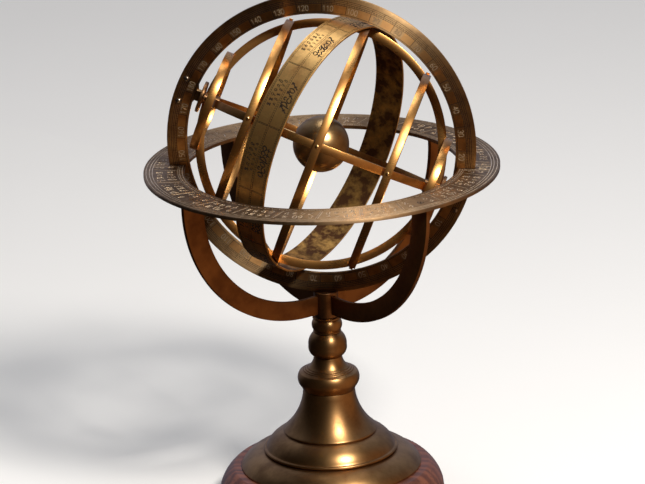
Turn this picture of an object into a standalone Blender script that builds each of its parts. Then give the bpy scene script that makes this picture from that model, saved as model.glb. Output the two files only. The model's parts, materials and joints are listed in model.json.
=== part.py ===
"""Brass armillary sphere on a turned column and a wooden plinth.

The floor is z = 0 and the column stands on the Z axis. The meridian ring lies in the XZ plane,
its centre is the centre of the sphere, and the celestial axis leans towards -X at its north end.
Lengths below are in millimetres and are turned into metres by MM.
"""
import math

import bmesh
import bpy
from mathutils import Matrix, Vector

MM = 0.001
GAP = 0.3                 # clearance between neighbouring pieces

# sphere and rings
CENTRE_Z = 334.0          # height of the sphere's centre over the floor
HORIZON_OUTER = 155.0
HORIZON_INNER = 119.5
HORIZON_TOP = -20.0       # from the sphere's centre
HORIZON_THICK = 3.0
MERIDIAN_OUTER = 135.3
MERIDIAN_INNER = 117.6
MERIDIAN_THICK = 3.0
LATITUDE = 22.0           # tilt of the celestial axis over the horizon, degrees
CAGE_SPIN = 17.5          # turn of the cage about its axis, degrees
OBLIQUITY = 23.5

COLURE_OUTER = 109.0      # flat colure ring
COLURE_INNER = 101.4
COLURE_THICK = 1.8
STRIP = 1.6               # thickness of the bent strips
STRIP_WIDTH = 7.0
SOLSTITIAL_INNER = 104.9
SOLSTITIAL_WIDTH = 7.2
EQUATOR_INNER = 109.5
TROPIC_INNER = 88.4
TROPIC_OFFSET = 63.7
POLAR_INNER = 43.4
POLAR_OFFSET = 101.4
ZODIAC_INNER = 111.7
ZODIAC_THICK = 1.6
ZODIAC_WIDTH = 28.2

BALL_RADIUS = 24.5
AXLE_RADIUS = 1.3
AXLE_END = 99.5
BOSS_RADIUS = 5.5
BOSS_FROM = 95.5
BOSS_TO = 112.6
DISC_RADIUS = 14.0        # disc at the outer end of each boss
DISC_FROM = 109.7
PIN_RADIUS = 1.3
PIN_FROM = 110.4
PIN_TO = 116.8

BRACKET_THICK = 2.0
BRACKET_FOOT = 112.9      # inner end of the bracket and its lug, along the axis
BRACKET_TOP = 132.0
BRACKET_HALF_WIDTH = 15.0
LUG_END = 117.1
LUG_HALF_WIDTH = 4.5
LUG_FRONT = -2.6          # the lug crosses the meridian plane to here
BRACKET_RIVET_ANGLE = 4.75
BRACKET_RIVET_RADIUS = 129.5
BRACKET_SHANK = 1.5

# cradle
ARM_THICK = 4.0
ARM_CENTRE_R = 21.0       # both edges of an arm are struck from centres this far out from the column
ARM_INNER = 107.2
ARM_INNER_Z = -30.1       # height of the inner edge's centre
ARM_OUTER = 128.0
ARM_OUTER_Z = -26.0
ARM_TENON = 5.0
ARM_AZIMUTHS = (("arm_back_right", 50), ("arm_back_left", 135), ("arm_front_left", 225),
                ("arm_front_right", 315))
SCREW_RADIUS_AT = 138.5   # circle of the four screws through the horizon ring
SCREW_SHANK = 1.1
SCREW_HEAD = 2.7
SCREW_LENGTH = 12.0

# column and base
HUB_RADIUS = 10.8
HUB_TOP = 199.7
HUB_BOTTOM = 176.5
BEAD_BOTTOM = 161.9
BALUSTER_BOTTOM = 139.7
COLLAR_BOTTOM = 109.1
BELL_BOTTOM = 38.0
BELL_ROOF = 98.0          # top of the bell's hollow
PLINTH_TOP = 37.7
PLINTH_BOTTOM = 1.5
PLINTH_RADIUS = 99.8
FELT_RADIUS = 94.0
FELT_THICK = 1.2
ROD_RADIUS = 2.5
BORE = ROD_RADIUS + GAP
ROD_TOP = 188.5
ROD_BOTTOM = 4.0
RECESS_RADIUS = 12.0
RECESS_TOP = 12.0
WASHER_RADIUS = 9.0
WASHER_THICK = 1.6
NUT_RADIUS = 5.0          # over its corners
NUT_HEIGHT = 4.5

# rivets of the cage
SHANK = 0.9
DRILL = 1.2
RIVET_HEAD = 1.9
RIVET_RISE = 1.1
NODE_RIVET_Y = 5.0        # rivets each side of the line where zodiac and equator cross
TROPIC_RIVET_END = 81.6   # inner end of the rivets that hold the tropics to the hoop

RING_STEPS = 72
HOOP_STEPS = 48
POLAR_STEPS = 32
COLUMN_STEPS = 24
BALL_ROWS = 12
THROUGH = 125.0           # half length of a drill that goes right through the cage

for old in list(bpy.data.objects):
    bpy.data.objects.remove(old, do_unlink=True)
parts = bpy.data.collections.new("armillary_sphere")
cutters = bpy.data.collections.new("cutters")
bpy.context.scene.collection.children.link(parts)
bpy.context.scene.collection.children.link(cutters)

# base colour, roughness, metallic
FINISHES = {
    "bright_brass": ((0.62, 0.38, 0.12), 0.30, 1.0),
    "strip_brass": ((0.60, 0.33, 0.10), 0.34, 1.0),
    "dark_brass": ((0.26, 0.17, 0.09), 0.42, 1.0),
    "horizon_brass": ((0.30, 0.22, 0.16), 0.45, 1.0),
    "zodiac_brass": ((0.55, 0.34, 0.12), 0.32, 1.0),
    "arm_brass": ((0.34, 0.17, 0.06), 0.38, 1.0),
    "steel": ((0.45, 0.44, 0.42), 0.40, 1.0),
    "red_wood": ((0.20, 0.055, 0.030), 0.40, 0.0),
    "green_felt": ((0.03, 0.10, 0.05), 0.95, 0.0),
}


def finish(obj, look):
    """Gives the object a material of its own."""
    colour, rough, metal = FINISHES[look]
    mat = bpy.data.materials.new(obj.name)
    mat.use_nodes = True
    shader = mat.node_tree.nodes["Principled BSDF"]
    shader.inputs["Base Color"].default_value = (*colour, 1.0)
    shader.inputs["Roughness"].default_value = rough
    shader.inputs["Metallic"].default_value = metal
    obj.data.materials.clear()
    obj.data.materials.append(mat)


def place(obj, parent=None, matrix=None):
    if parent is not None:
        obj.parent = parent
    if matrix is not None:
        obj.matrix_local = matrix


def empty(name, parent, matrix):
    obj = bpy.data.objects.new(name, None)
    obj.empty_display_size = 0.05
    parts.objects.link(obj)
    place(obj, parent, matrix)
    return obj


def arc(a, b, bulge, count):
    """Points from a to b along a circular arc; bulge is sagitta over chord, outwards when going down."""
    (ar, az), (br, bz) = a, b
    chord = math.hypot(br - ar, bz - az)
    sag = bulge * chord
    radius = (chord * chord / 4 + sag * sag) / (2 * sag)
    nr, nz = -(bz - az) / chord, (br - ar) / chord
    cr = (ar + br) / 2 + nr * (sag - radius)
    cz = (az + bz) / 2 + nz * (sag - radius)
    start = math.atan2(az - cz, ar - cr)
    sweep = math.atan2(bz - cz, br - cr) - start
    sweep = (sweep + math.pi) % (2 * math.pi) - math.pi
    size = abs(radius)
    return [(cr + size * math.cos(start + sweep * i / count),
             cz + size * math.sin(start + sweep * i / count)) for i in range(count + 1)]


def turned(name, outline, look=None, steps=COLUMN_STEPS, parent=None, matrix=None, closed=True):
    """Solid of revolution about local Z. The outline runs down the outer side and back up inside."""
    mesh = bpy.data.meshes.new(name)
    verts = [(r * MM, 0.0, z * MM) for r, z in outline]
    count = len(verts)
    edges = [(i, i + 1) for i in range(count - 1)]
    if closed:
        edges.append((count - 1, 0))
    mesh.from_pydata(verts, edges, [])
    obj = bpy.data.objects.new(name, mesh)
    (parts if look else cutters).objects.link(obj)
    screw = obj.modifiers.new("turn", "SCREW")
    screw.axis = "Z"
    screw.angle = 2 * math.pi
    screw.steps = screw.render_steps = steps
    screw.use_merge_vertices = True
    screw.merge_threshold = 0.00001
    screw.use_smooth_shade = True
    if look:
        finish(obj, look)
    else:
        as_cutter(obj)
    place(obj, parent, matrix)
    return obj


def band(name, inner, outer, low, high, look=None, steps=HOOP_STEPS, parent=None, matrix=None):
    """Ring of rectangular section about local Z."""
    outline = [(outer, high), (outer, low), (inner, low), (inner, high)]
    return turned(name, outline, look, steps, parent, matrix)


def plate(name, outline, thick, look, parent=None, matrix=None):
    """Flat plate in the local XY plane, centred on it, cut from a closed outline."""
    curve = bpy.data.curves.new(name, "CURVE")
    curve.dimensions = "2D"
    curve.fill_mode = "BOTH"
    curve.extrude = thick * MM / 2
    line = curve.splines.new("POLY")
    line.points.add(len(outline) - 1)
    for point, (x, y) in zip(line.points, outline):
        point.co = (x * MM, y * MM, 0.0, 1.0)
    line.use_cyclic_u = True
    draft = bpy.data.objects.new(name + "_draft", curve)
    parts.objects.link(draft)
    graph = bpy.context.evaluated_depsgraph_get()
    mesh = bpy.data.meshes.new_from_object(draft.evaluated_get(graph))
    bpy.data.objects.remove(draft, do_unlink=True)
    shape = bmesh.new()
    shape.from_mesh(mesh)
    bmesh.ops.remove_doubles(shape, verts=shape.verts, dist=0.000001)
    bmesh.ops.recalc_face_normals(shape, faces=shape.faces)
    shape.to_mesh(mesh)
    shape.free()
    mesh.name = name
    obj = bpy.data.objects.new(name, mesh)
    parts.objects.link(obj)
    finish(obj, look)
    place(obj, parent, matrix)
    return obj


def as_cutter(obj):
    obj.hide_render = True
    obj.display_type = "WIRE"


def block_cutter(name, size, centre, parent=None, matrix=None):
    """Box of the given size round a centre, in the parent's axes."""
    shape = bmesh.new()
    bmesh.ops.create_cube(shape, size=1.0)
    bmesh.ops.scale(shape, vec=Vector(size) * MM, verts=shape.verts)
    bmesh.ops.translate(shape, vec=Vector(centre) * MM, verts=shape.verts)
    return cutter_from(shape, name, parent, matrix)


def rod_cutter(name, radius, start, end, sides=12, parent=None, matrix=None):
    """Cylinder between two points, in the parent's axes."""
    start, end = Vector(start) * MM, Vector(end) * MM
    along = end - start
    turn = along.to_track_quat("Z", "Y").to_matrix().to_4x4()
    shape = bmesh.new()
    bmesh.ops.create_cone(shape, cap_ends=True, segments=sides, radius1=radius * MM, radius2=radius * MM,
                          depth=along.length, matrix=Matrix.Translation((start + end) / 2) @ turn)
    return cutter_from(shape, name, parent, matrix)


def cutter_from(shape, name, parent, matrix):
    mesh = bpy.data.meshes.new(name)
    shape.to_mesh(mesh)
    shape.free()
    obj = bpy.data.objects.new(name, mesh)
    cutters.objects.link(obj)
    as_cutter(obj)
    place(obj, parent, matrix)
    return obj


def cut(obj, *tools):
    for tool in tools:
        mod = obj.modifiers.new(tool.name, "BOOLEAN")
        mod.operation = "DIFFERENCE"
        mod.solver = "EXACT"
        mod.object = tool


def repeated(name, outline, matrices, steps, parent):
    """A turned piece at each matrix, every copy an object of its own."""
    for index, matrix in enumerate(matrices, 1):
        turned("%s_%d" % (name, index), outline, "bright_brass", steps, parent, matrix, closed=False)


def join(obj, tool):
    mod = obj.modifiers.new(tool.name, "BOOLEAN")
    mod.operation = "UNION"
    mod.solver = "EXACT"
    mod.object = tool


def upright(point, direction):
    """Matrix that puts local Z along a direction from a point, both in the parent's axes."""
    turn = Vector(direction).to_track_quat("Z", "Y").to_matrix().to_4x4()
    return Matrix.Translation(Vector(point) * MM) @ turn


def in_meridian(angle, radius, y=0.0):
    """Point of the meridian plane at an angle from +X towards +Z."""
    a = math.radians(angle)
    return Vector((radius * math.cos(a), y, radius * math.sin(a)))


def arm_edge(radius, centre_z, top, count=14):
    """Edge of an arm from straight below its centre up to a height."""
    end = math.asin((top - centre_z) / radius)
    angles = [-math.pi / 2 + (math.pi / 2 + end) * i / count for i in range(count + 1)]
    return [(ARM_CENTRE_R + radius * math.cos(a), centre_z + radius * math.sin(a)) for a in angles]


# pivots: the meridian turns about Y through the centre, the cage and the ball about the celestial axis
tilt = math.radians(LATITUDE)
pole = Vector((-math.cos(tilt), 0.0, math.sin(tilt)))
up_side = Vector((math.sin(tilt), 0.0, math.cos(tilt)))
axis_frame = Matrix((up_side, pole.cross(up_side), pole)).transposed().to_4x4()

sphere_centre = empty("sphere_centre", None, Matrix.Translation((0, 0, CENTRE_Z * MM)))
meridian_pivot = empty("meridian_pivot", sphere_centre, None)
cage_turn = Matrix.Rotation(math.radians(CAGE_SPIN), 4, "Z")
cage_pivot = empty("cage_pivot", meridian_pivot, axis_frame @ cage_turn)
earth_pivot = empty("earth_pivot", cage_pivot, None)

FACE_ON = Matrix.Rotation(math.radians(90), 4, "X")     # local Z to -Y, local Y to +Z
SIDE_ON = Matrix.Rotation(math.radians(90), 4, "Y")     # local Z to +X
POLES = (("north", 1), ("south", -1))


def make_base():
    turned("felt_pad", [(0, FELT_THICK), (FELT_RADIUS, FELT_THICK), (FELT_RADIUS, 0), (0, 0)],
           "green_felt", closed=False)
    turned("wood_plinth",
           [(86.4, PLINTH_TOP)] + arc((87.2, PLINTH_TOP - 0.5), (98.8, 19.9), 0.076, 4)
           + [(PLINTH_RADIUS, 13.0), (PLINTH_RADIUS, 6.0), (98.4, PLINTH_BOTTOM),
              (RECESS_RADIUS, PLINTH_BOTTOM), (RECESS_RADIUS, RECESS_TOP), (BORE, RECESS_TOP),
              (BORE, PLINTH_TOP)],
           "red_wood", steps=36)
    outside = ([(22.9, COLLAR_BOTTOM - GAP)] + arc((23.4, 104.0), (41.6, 71.6), -0.087, 5)
               + [(41.6, 70.9), (40.3, 70.3)] + arc((40.6, 69.8), (57.0, 55.8), 0.117, 3)
               + [(58.3, 54.3), (57.0, 52.9)] + arc((56.8, 52.4), (79.2, 39.8), 0.124, 3)
               + [(79.8, 39.0), (79.6, BELL_BOTTOM)])
    inside = [(74.0, BELL_BOTTOM), (60.0, 46.0), (51.0, 50.0), (37.0, 64.0), (24.0, 86.0),
              (15.0, BELL_ROOF), (BORE, BELL_ROOF), (BORE, COLLAR_BOTTOM - GAP)]
    turned("base_bell", outside + inside, "bright_brass", steps=32)


def make_column():
    """Collar, baluster and bead, and the hub on top; returns the hub."""
    turned("stem_collar",
           arc((12.4, BALUSTER_BOTTOM - GAP), (16.9, 129.7), -0.08, 3)
           + [(18.2, 128.8), (22.6, 126.7), (23.7, 125.9)]
           + arc((25.6, 125.0), (24.8, 112.5), 0.17, 4)
           + [(22.9, COLLAR_BOTTOM), (BORE, COLLAR_BOTTOM), (BORE, BALUSTER_BOTTOM - GAP)],
           "bright_brass")
    turned("stem_baluster",
           arc((11.9, BEAD_BOTTOM - GAP), (17.0, 150.3), 0.12, 4)
           + arc((17.0, 149.2), (12.4, BALUSTER_BOTTOM), 0.16, 4)
           + [(BORE, BALUSTER_BOTTOM), (BORE, BEAD_BOTTOM - GAP)],
           "bright_brass")
    turned("stem_bead",
           arc((11.2, HUB_BOTTOM - GAP), (11.8, BEAD_BOTTOM), 0.18, 5)
           + [(BORE, BEAD_BOTTOM), (BORE, HUB_BOTTOM - GAP)],
           "bright_brass")
    bevel, bore_top = 0.5, ROD_TOP + 1.0
    return turned("hub",
                  [(0, HUB_TOP), (HUB_RADIUS - bevel, HUB_TOP), (HUB_RADIUS, HUB_TOP - bevel),
                   (HUB_RADIUS, HUB_BOTTOM + bevel), (HUB_RADIUS - bevel, HUB_BOTTOM), (BORE, HUB_BOTTOM),
                   (BORE, bore_top), (0, bore_top)],
                  "dark_brass", steps=40, closed=False)


def make_tie():
    """The rod inside the column, with its washer and nut in the plinth's recess."""
    turned("tie_rod", [(0, ROD_TOP), (ROD_RADIUS, ROD_TOP), (ROD_RADIUS, ROD_BOTTOM), (0, ROD_BOTTOM)],
           "steel", steps=12, closed=False)
    washer_top = RECESS_TOP - GAP
    band("tie_washer", BORE, WASHER_RADIUS, washer_top - WASHER_THICK, washer_top, "steel", steps=16)
    nut_top = washer_top - WASHER_THICK - GAP
    nut_low = nut_top - NUT_HEIGHT
    nut = turned("tie_nut", [(0, nut_top), (NUT_RADIUS, nut_top), (NUT_RADIUS, nut_low), (0, nut_low)],
                 "steel", steps=6, closed=False)
    cut(nut, rod_cutter("nut_bore", BORE, (0, 0, nut_low - 1.0), (0, 0, nut_top + 1.0)))


def make_cradle(hub):
    """Four arms in the hub's slots, and the horizon ring screwed down on them."""
    arm_top = HORIZON_TOP - HORIZON_THICK - GAP
    tenon_top, tenon_low = ARM_INNER_Z - ARM_INNER, ARM_OUTER_Z - ARM_OUTER
    outline = ([(ARM_TENON, tenon_top)] + arm_edge(ARM_INNER, ARM_INNER_Z, arm_top)
               + arm_edge(ARM_OUTER, ARM_OUTER_Z, arm_top)[::-1] + [(ARM_TENON, tenon_low)])
    slot_top, slot_low = tenon_top + GAP, tenon_low - GAP
    slot_length = 12.0
    screw_places = []
    for arm_name, azimuth in ARM_AZIMUTHS:
        swing = Matrix.Rotation(math.radians(azimuth), 4, "Z")
        arm = plate(arm_name, outline, ARM_THICK, "arm_brass", sphere_centre, swing @ FACE_ON)
        cut(arm, rod_cutter(arm_name + "_hole", SCREW_SHANK + GAP,
                            (SCREW_RADIUS_AT, 0, arm_top - SCREW_LENGTH + 2.0),
                            (SCREW_RADIUS_AT, 0, arm_top + 2.0), 8, sphere_centre, swing))
        cut(hub, block_cutter(arm_name + "_slot", (slot_length, ARM_THICK + 2 * GAP, slot_top - slot_low),
                              (ARM_TENON - GAP + slot_length / 2, 0, (slot_top + slot_low) / 2),
                              sphere_centre, swing))
        screw_places.append(swing @ Matrix.Translation((SCREW_RADIUS_AT * MM, 0, HORIZON_TOP * MM)))
    groove_radius, groove_half = MERIDIAN_OUTER + GAP, MERIDIAN_THICK / 2 + GAP
    cut(hub, turned("meridian_groove", [(0, groove_half), (groove_radius, groove_half),
                                        (groove_radius, -groove_half), (0, -groove_half)],
                    steps=192, parent=sphere_centre, matrix=FACE_ON, closed=False))

    horizon = band("horizon_ring", HORIZON_INNER, HORIZON_OUTER, HORIZON_TOP - HORIZON_THICK, HORIZON_TOP,
                   "horizon_brass", RING_STEPS, sphere_centre)
    notch_end = math.sqrt(MERIDIAN_OUTER ** 2 - HORIZON_TOP ** 2) + 0.5
    notch_from, notch_width = HORIZON_INNER - 9.5, MERIDIAN_THICK + 0.8
    for label, side in (("left", -1), ("right", 1)):
        cut(horizon, block_cutter("horizon_notch_" + label,
                                  (notch_end - notch_from, notch_width, 3 * HORIZON_THICK),
                                  (side * (notch_end + notch_from) / 2, 0, HORIZON_TOP - HORIZON_THICK / 2),
                                  sphere_centre))
    taper_end = SCREW_SHANK - SCREW_HEAD
    for index, swing in enumerate(screw_places):
        cut(horizon, turned("screw_hole_%d" % index,
                            [(0, 1.0), (SCREW_HEAD + GAP + 1.0, 1.0), (SCREW_SHANK + GAP, taper_end),
                             (SCREW_SHANK + GAP, -5.0), (0, -5.0)],
                            steps=12, parent=sphere_centre, matrix=swing, closed=False))
    repeated("horizon_screw", [(0, 0), (SCREW_HEAD, 0), (SCREW_SHANK, taper_end - GAP),
                               (SCREW_SHANK, -SCREW_LENGTH), (0, -SCREW_LENGTH)],
             screw_places, 12, sphere_centre)


def bracket_outline():
    """Half-round plate behind the meridian ring, narrow where it meets the pivot."""
    wing_low, wing_top = BRACKET_FOOT + 7.0, BRACKET_TOP - 5.0
    neck, brow = wing_low - 4.0, BRACKET_TOP - 2.0
    one_side = [(BRACKET_FOOT, LUG_HALF_WIDTH), (neck, LUG_HALF_WIDTH), (wing_low, BRACKET_HALF_WIDTH),
                (wing_top, BRACKET_HALF_WIDTH), (brow, 7.0)]
    return [(x, -y) for x, y in one_side] + [(BRACKET_TOP, 0.0)] + one_side[::-1]


def make_meridian():
    """The graduated ring with a bracket, a pivot pin and two rivets at each pole."""
    meridian = band("meridian_ring", MERIDIAN_INNER, MERIDIAN_OUTER, -MERIDIAN_THICK / 2, MERIDIAN_THICK / 2,
                    "dark_brass", RING_STEPS, meridian_pivot, FACE_ON)
    face = MERIDIAN_THICK / 2 + GAP
    middle = face + BRACKET_THICK / 2
    rivet_places = []
    for pole_name, sign in POLES:
        direction = 180.0 - LATITUDE if sign > 0 else -LATITUDE
        along = Matrix.Rotation(-math.radians(direction), 4, "Y")
        bracket = plate(pole_name + "_pole_bracket", bracket_outline(), BRACKET_THICK, "dark_brass",
                        meridian_pivot, Matrix.Translation((0, middle * MM, 0)) @ along @ FACE_ON)
        join(bracket, block_cutter(pole_name + "_lug",
                                   (LUG_END - BRACKET_FOOT, middle - LUG_FRONT, 2 * LUG_HALF_WIDTH),
                                   ((LUG_END + BRACKET_FOOT) / 2, (middle + LUG_FRONT) / 2, 0),
                                   meridian_pivot, along))
        cut(bracket, rod_cutter(pole_name + "_pin_socket", PIN_RADIUS + GAP,
                                sign * pole * (BRACKET_FOOT - 2.0), sign * pole * (LUG_END + 0.4), 10,
                                meridian_pivot))
        turned(pole_name + "_pivot_pin",
               [(0, PIN_TO), (PIN_RADIUS, PIN_TO), (PIN_RADIUS, PIN_FROM), (0, PIN_FROM)],
               "bright_brass", steps=10, parent=meridian_pivot, matrix=upright((0, 0, 0), sign * pole),
               closed=False)
        for side in (-1, 1):
            at = in_meridian(direction + side * BRACKET_RIVET_ANGLE, BRACKET_RIVET_RADIUS)
            hole = rod_cutter("%s_rivet_hole_%d" % (pole_name, side), BRACKET_SHANK + GAP,
                              at + Vector((0, -9, 0)), at + Vector((0, 9, 0)), 10, meridian_pivot)
            cut(meridian, hole)
            cut(bracket, hole)
            rivet_places.append(upright(at, (0, -1, 0)))
    tail = face + BRACKET_THICK + GAP
    repeated("bracket_rivet",
             arc((0.0, face + 1.5), (2.6, face), 0.16, 2)
             + [(BRACKET_SHANK, face), (BRACKET_SHANK, -tail), (2.3, -tail), (2.0, -tail - 1.0),
                (0, -tail - 1.0)],
             rivet_places, 12, meridian_pivot)


def make_hoops():
    """Both colures, the equator, the tropics, the polar rings and the zodiac, by name."""
    half = STRIP_WIDTH / 2
    rings = {
        "flat": band("equinoctial_colure", COLURE_INNER, COLURE_OUTER, -COLURE_THICK / 2, COLURE_THICK / 2,
                     "strip_brass", HOOP_STEPS, cage_pivot, FACE_ON),
        "hoop": band("solstitial_colure", SOLSTITIAL_INNER, SOLSTITIAL_INNER + STRIP, -SOLSTITIAL_WIDTH / 2,
                     SOLSTITIAL_WIDTH / 2, "strip_brass", HOOP_STEPS, cage_pivot, SIDE_ON),
        "equator": band("equator_ring", EQUATOR_INNER, EQUATOR_INNER + STRIP, -half, half,
                        "strip_brass", HOOP_STEPS, cage_pivot),
        "zodiac": band("zodiac_band", ZODIAC_INNER, ZODIAC_INNER + ZODIAC_THICK, -ZODIAC_WIDTH / 2,
                       ZODIAC_WIDTH / 2, "zodiac_brass", HOOP_STEPS, cage_pivot,
                       Matrix.Rotation(-math.radians(OBLIQUITY), 4, "X")),
    }
    for key, ring_name, inner, offset, steps in (
            ("north", "north_tropic_ring", TROPIC_INNER, TROPIC_OFFSET, HOOP_STEPS),
            ("south", "south_tropic_ring", TROPIC_INNER, -TROPIC_OFFSET, HOOP_STEPS),
            ("arctic", "arctic_ring", POLAR_INNER, POLAR_OFFSET, POLAR_STEPS),
            ("antarctic", "antarctic_ring", POLAR_INNER, -POLAR_OFFSET, POLAR_STEPS)):
        rings[key] = band(ring_name, inner, inner + STRIP, offset - half, offset + half, "strip_brass", steps,
                          cage_pivot)
        cut(rings["flat"], band(ring_name + "_notch", inner - GAP, inner + 12.0, offset - half - GAP,
                                offset + half + GAP, None, steps, cage_pivot))
    return rings


def make_bosses(rings):
    """The slotted bosses, with a disc each, where both colures cross the axis, and the axle between."""
    pin_hole, axle_hole = PIN_RADIUS + GAP, AXLE_RADIUS + GAP
    strip_half = SOLSTITIAL_WIDTH / 2 + GAP
    flat_low, flat_high = COLURE_INNER - 0.5, COLURE_OUTER + 0.4
    strip_low, strip_high = SOLSTITIAL_INNER - 0.5, SOLSTITIAL_INNER + STRIP + 0.4
    across = 20.0
    for pole_name, sign in POLES:
        boss = turned(pole_name + "_pole_boss",
                      [(0, PIN_FROM - GAP), (pin_hole, PIN_FROM - GAP), (pin_hole, BOSS_TO),
                       (DISC_RADIUS, BOSS_TO), (DISC_RADIUS, DISC_FROM), (BOSS_RADIUS, DISC_FROM),
                       (BOSS_RADIUS, BOSS_FROM), (axle_hole, BOSS_FROM), (axle_hole, AXLE_END + GAP),
                       (0, AXLE_END + GAP)],
                      "bright_brass", steps=24, parent=cage_pivot, matrix=upright((0, 0, 0), (0, 0, sign)),
                      closed=False)
        cut(boss,
            block_cutter(pole_name + "_flat_slot", (across, COLURE_THICK + 2 * GAP, flat_high - flat_low),
                         (0, 0, sign * (flat_high + flat_low) / 2), cage_pivot),
            block_cutter(pole_name + "_strip_slot", (2 * strip_half, across, strip_high - strip_low),
                         (0, 0, sign * (strip_low + strip_high) / 2), cage_pivot))
        cut(rings["flat"], block_cutter(pole_name + "_saddle", (2 * strip_half, 6.0, 10.0),
                                        (0, 0, sign * (SOLSTITIAL_INNER - GAP + 5.0)), cage_pivot))
    turned("earth_axle", [(0, AXLE_END), (AXLE_RADIUS, AXLE_END), (AXLE_RADIUS, -AXLE_END), (0, -AXLE_END)],
           "bright_brass", steps=12, parent=cage_pivot, closed=False)


def rivet_outline(tail_at, head_at, tail_radius):
    """Domed rivet along local Z: its head sits on head_at, its tail starts at tail_at."""
    head = arc((0.0, head_at + RIVET_RISE), (RIVET_HEAD, head_at), 0.16, 2)
    if tail_radius > SHANK:
        end = [(SHANK, tail_at), (tail_radius, tail_at), (tail_radius, tail_at - 0.8), (0, tail_at - 0.8)]
    else:
        end = [(SHANK, tail_at), (0, tail_at)]
    return head + [(SHANK, head_at)] + end


def make_rivets(rings):
    """Rivets through the hoop and the rings outside it, and through the zodiac and the equator."""
    for key, height in (("equator", 0.0), ("north", TROPIC_OFFSET), ("south", -TROPIC_OFFSET)):
        drill = rod_cutter(key + "_drill", DRILL, (0, -THROUGH, height), (0, THROUGH, height), 8, cage_pivot)
        cut(rings["hoop"], drill)
        cut(rings[key], drill)
    for side in (-1, 1):
        drill = rod_cutter("zodiac_drill_%d" % side, DRILL, (-THROUGH, side * NODE_RIVET_Y, 0),
                           (THROUGH, side * NODE_RIVET_Y, 0), 8, cage_pivot)
        cut(rings["equator"], drill)
        cut(rings["zodiac"], drill)
    repeated("equator_rivet", rivet_outline(SOLSTITIAL_INNER - GAP, EQUATOR_INNER + STRIP + GAP, 1.7),
             [upright((0, 0, 0), (0, side, 0)) for side in (-1, 1)], 10, cage_pivot)
    repeated("tropic_rivet", rivet_outline(TROPIC_RIVET_END, TROPIC_INNER + STRIP + GAP, 0.0),
             [upright((0, 0, h), (0, side, 0)) for h in (-TROPIC_OFFSET, TROPIC_OFFSET) for side in (-1, 1)],
             10, cage_pivot)
    repeated("zodiac_rivet", rivet_outline(EQUATOR_INNER - 0.5, ZODIAC_INNER + ZODIAC_THICK + GAP, 1.5),
             [upright((0, y, 0), (side, 0, 0)) for y in (-NODE_RIVET_Y, NODE_RIVET_Y) for side in (-1, 1)],
             10, cage_pivot)


def make_earth():
    start = math.asin((AXLE_RADIUS + GAP) / BALL_RADIUS)
    angles = [start + (math.pi - 2 * start) * i / BALL_ROWS for i in range(BALL_ROWS + 1)]
    turned("earth_ball", [(BALL_RADIUS * math.sin(a), BALL_RADIUS * math.cos(a)) for a in angles],
           "bright_brass", steps=24, parent=earth_pivot)


make_base()
column_hub = make_column()
make_tie()
make_cradle(column_hub)
make_meridian()
hoops = make_hoops()
make_bosses(hoops)
make_rivets(hoops)
make_earth()
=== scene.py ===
"""Looks of a brass armillary sphere: engraved rings, satin brass, a polished wooden plinth.

Shapes are worked out in millimetres in each piece's own axes and placed in the frame by a matrix.
"""
import json
import math
import random

import bmesh
import bpy
from mathutils import Matrix, Vector
from mathutils.geometry import delaunay_2d_cdt


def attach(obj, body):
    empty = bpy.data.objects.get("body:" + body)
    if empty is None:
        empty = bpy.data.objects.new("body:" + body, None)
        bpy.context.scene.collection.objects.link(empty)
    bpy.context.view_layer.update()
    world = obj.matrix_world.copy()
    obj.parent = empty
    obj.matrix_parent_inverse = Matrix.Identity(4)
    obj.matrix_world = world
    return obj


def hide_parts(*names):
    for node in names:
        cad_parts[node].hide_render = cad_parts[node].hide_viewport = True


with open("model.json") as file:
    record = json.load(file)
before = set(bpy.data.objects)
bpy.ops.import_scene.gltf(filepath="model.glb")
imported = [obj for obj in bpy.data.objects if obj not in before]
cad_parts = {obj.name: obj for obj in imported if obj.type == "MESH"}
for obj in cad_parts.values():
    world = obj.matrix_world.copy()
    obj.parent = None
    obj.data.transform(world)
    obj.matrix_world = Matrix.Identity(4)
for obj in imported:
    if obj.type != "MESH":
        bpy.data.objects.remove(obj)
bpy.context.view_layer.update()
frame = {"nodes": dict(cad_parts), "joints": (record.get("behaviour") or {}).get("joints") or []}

MM = 0.001  # a millimetre in metres
WELD = 0.001  # vertices this close, in millimetres, become one
joints = {joint["name"]: joint for joint in frame["joints"]}
CENTRE = Vector(joints["cage_spin"]["pos_m"])
POLE = Vector(joints["cage_spin"]["axis"]).normalized()
CAGE_SPIN = 17.5  # degrees that the cage is turned at rest
OBLIQUITY = 23.5  # degrees between the zodiac band and the equator
LATITUDE = math.degrees(math.asin(POLE.z))

up_side = Vector((math.sin(math.radians(LATITUDE)), 0.0, math.cos(math.radians(LATITUDE))))
back_side = POLE.cross(up_side)
axis_frame = Matrix((up_side, back_side, POLE)).transposed().to_4x4()
POLES = (("north", 1), ("south", -1))
AT_CENTRE = Matrix.Translation(CENTRE)
IN_CAGE = AT_CENTRE @ axis_frame @ Matrix.Rotation(math.radians(CAGE_SPIN), 4, "Z")
IN_ZODIAC = IN_CAGE @ Matrix.Rotation(-math.radians(OBLIQUITY), 4, "X")
FACE_ON = Matrix.Rotation(math.radians(90), 4, "X")  # local Z to -Y, local Y to +Z
SIDE_ON = Matrix.Rotation(math.radians(90), 4, "Y")  # local Z to +X
TURNED_OVER = Matrix.Rotation(math.radians(180), 4, "X")


def measure(name, matrix, wall=0.0):
    """Size in millimetres of a round CAD node about a matrix's Z; wall is a ring's radial thickness."""
    inverse = matrix.inverted()
    points = [inverse @ vert.co for vert in frame["nodes"][name].data.vertices]
    outer = max(math.hypot(point.x, point.y) for point in points)
    low, high = min(point.z for point in points), max(point.z for point in points)
    sizes = {"outer": outer, "inner": outer - wall * MM, "low": low, "high": high, "thick": high - low,
             "middle": (low + high) / 2}
    return {key: round(value / MM, 2) for key, value in sizes.items()}


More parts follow.
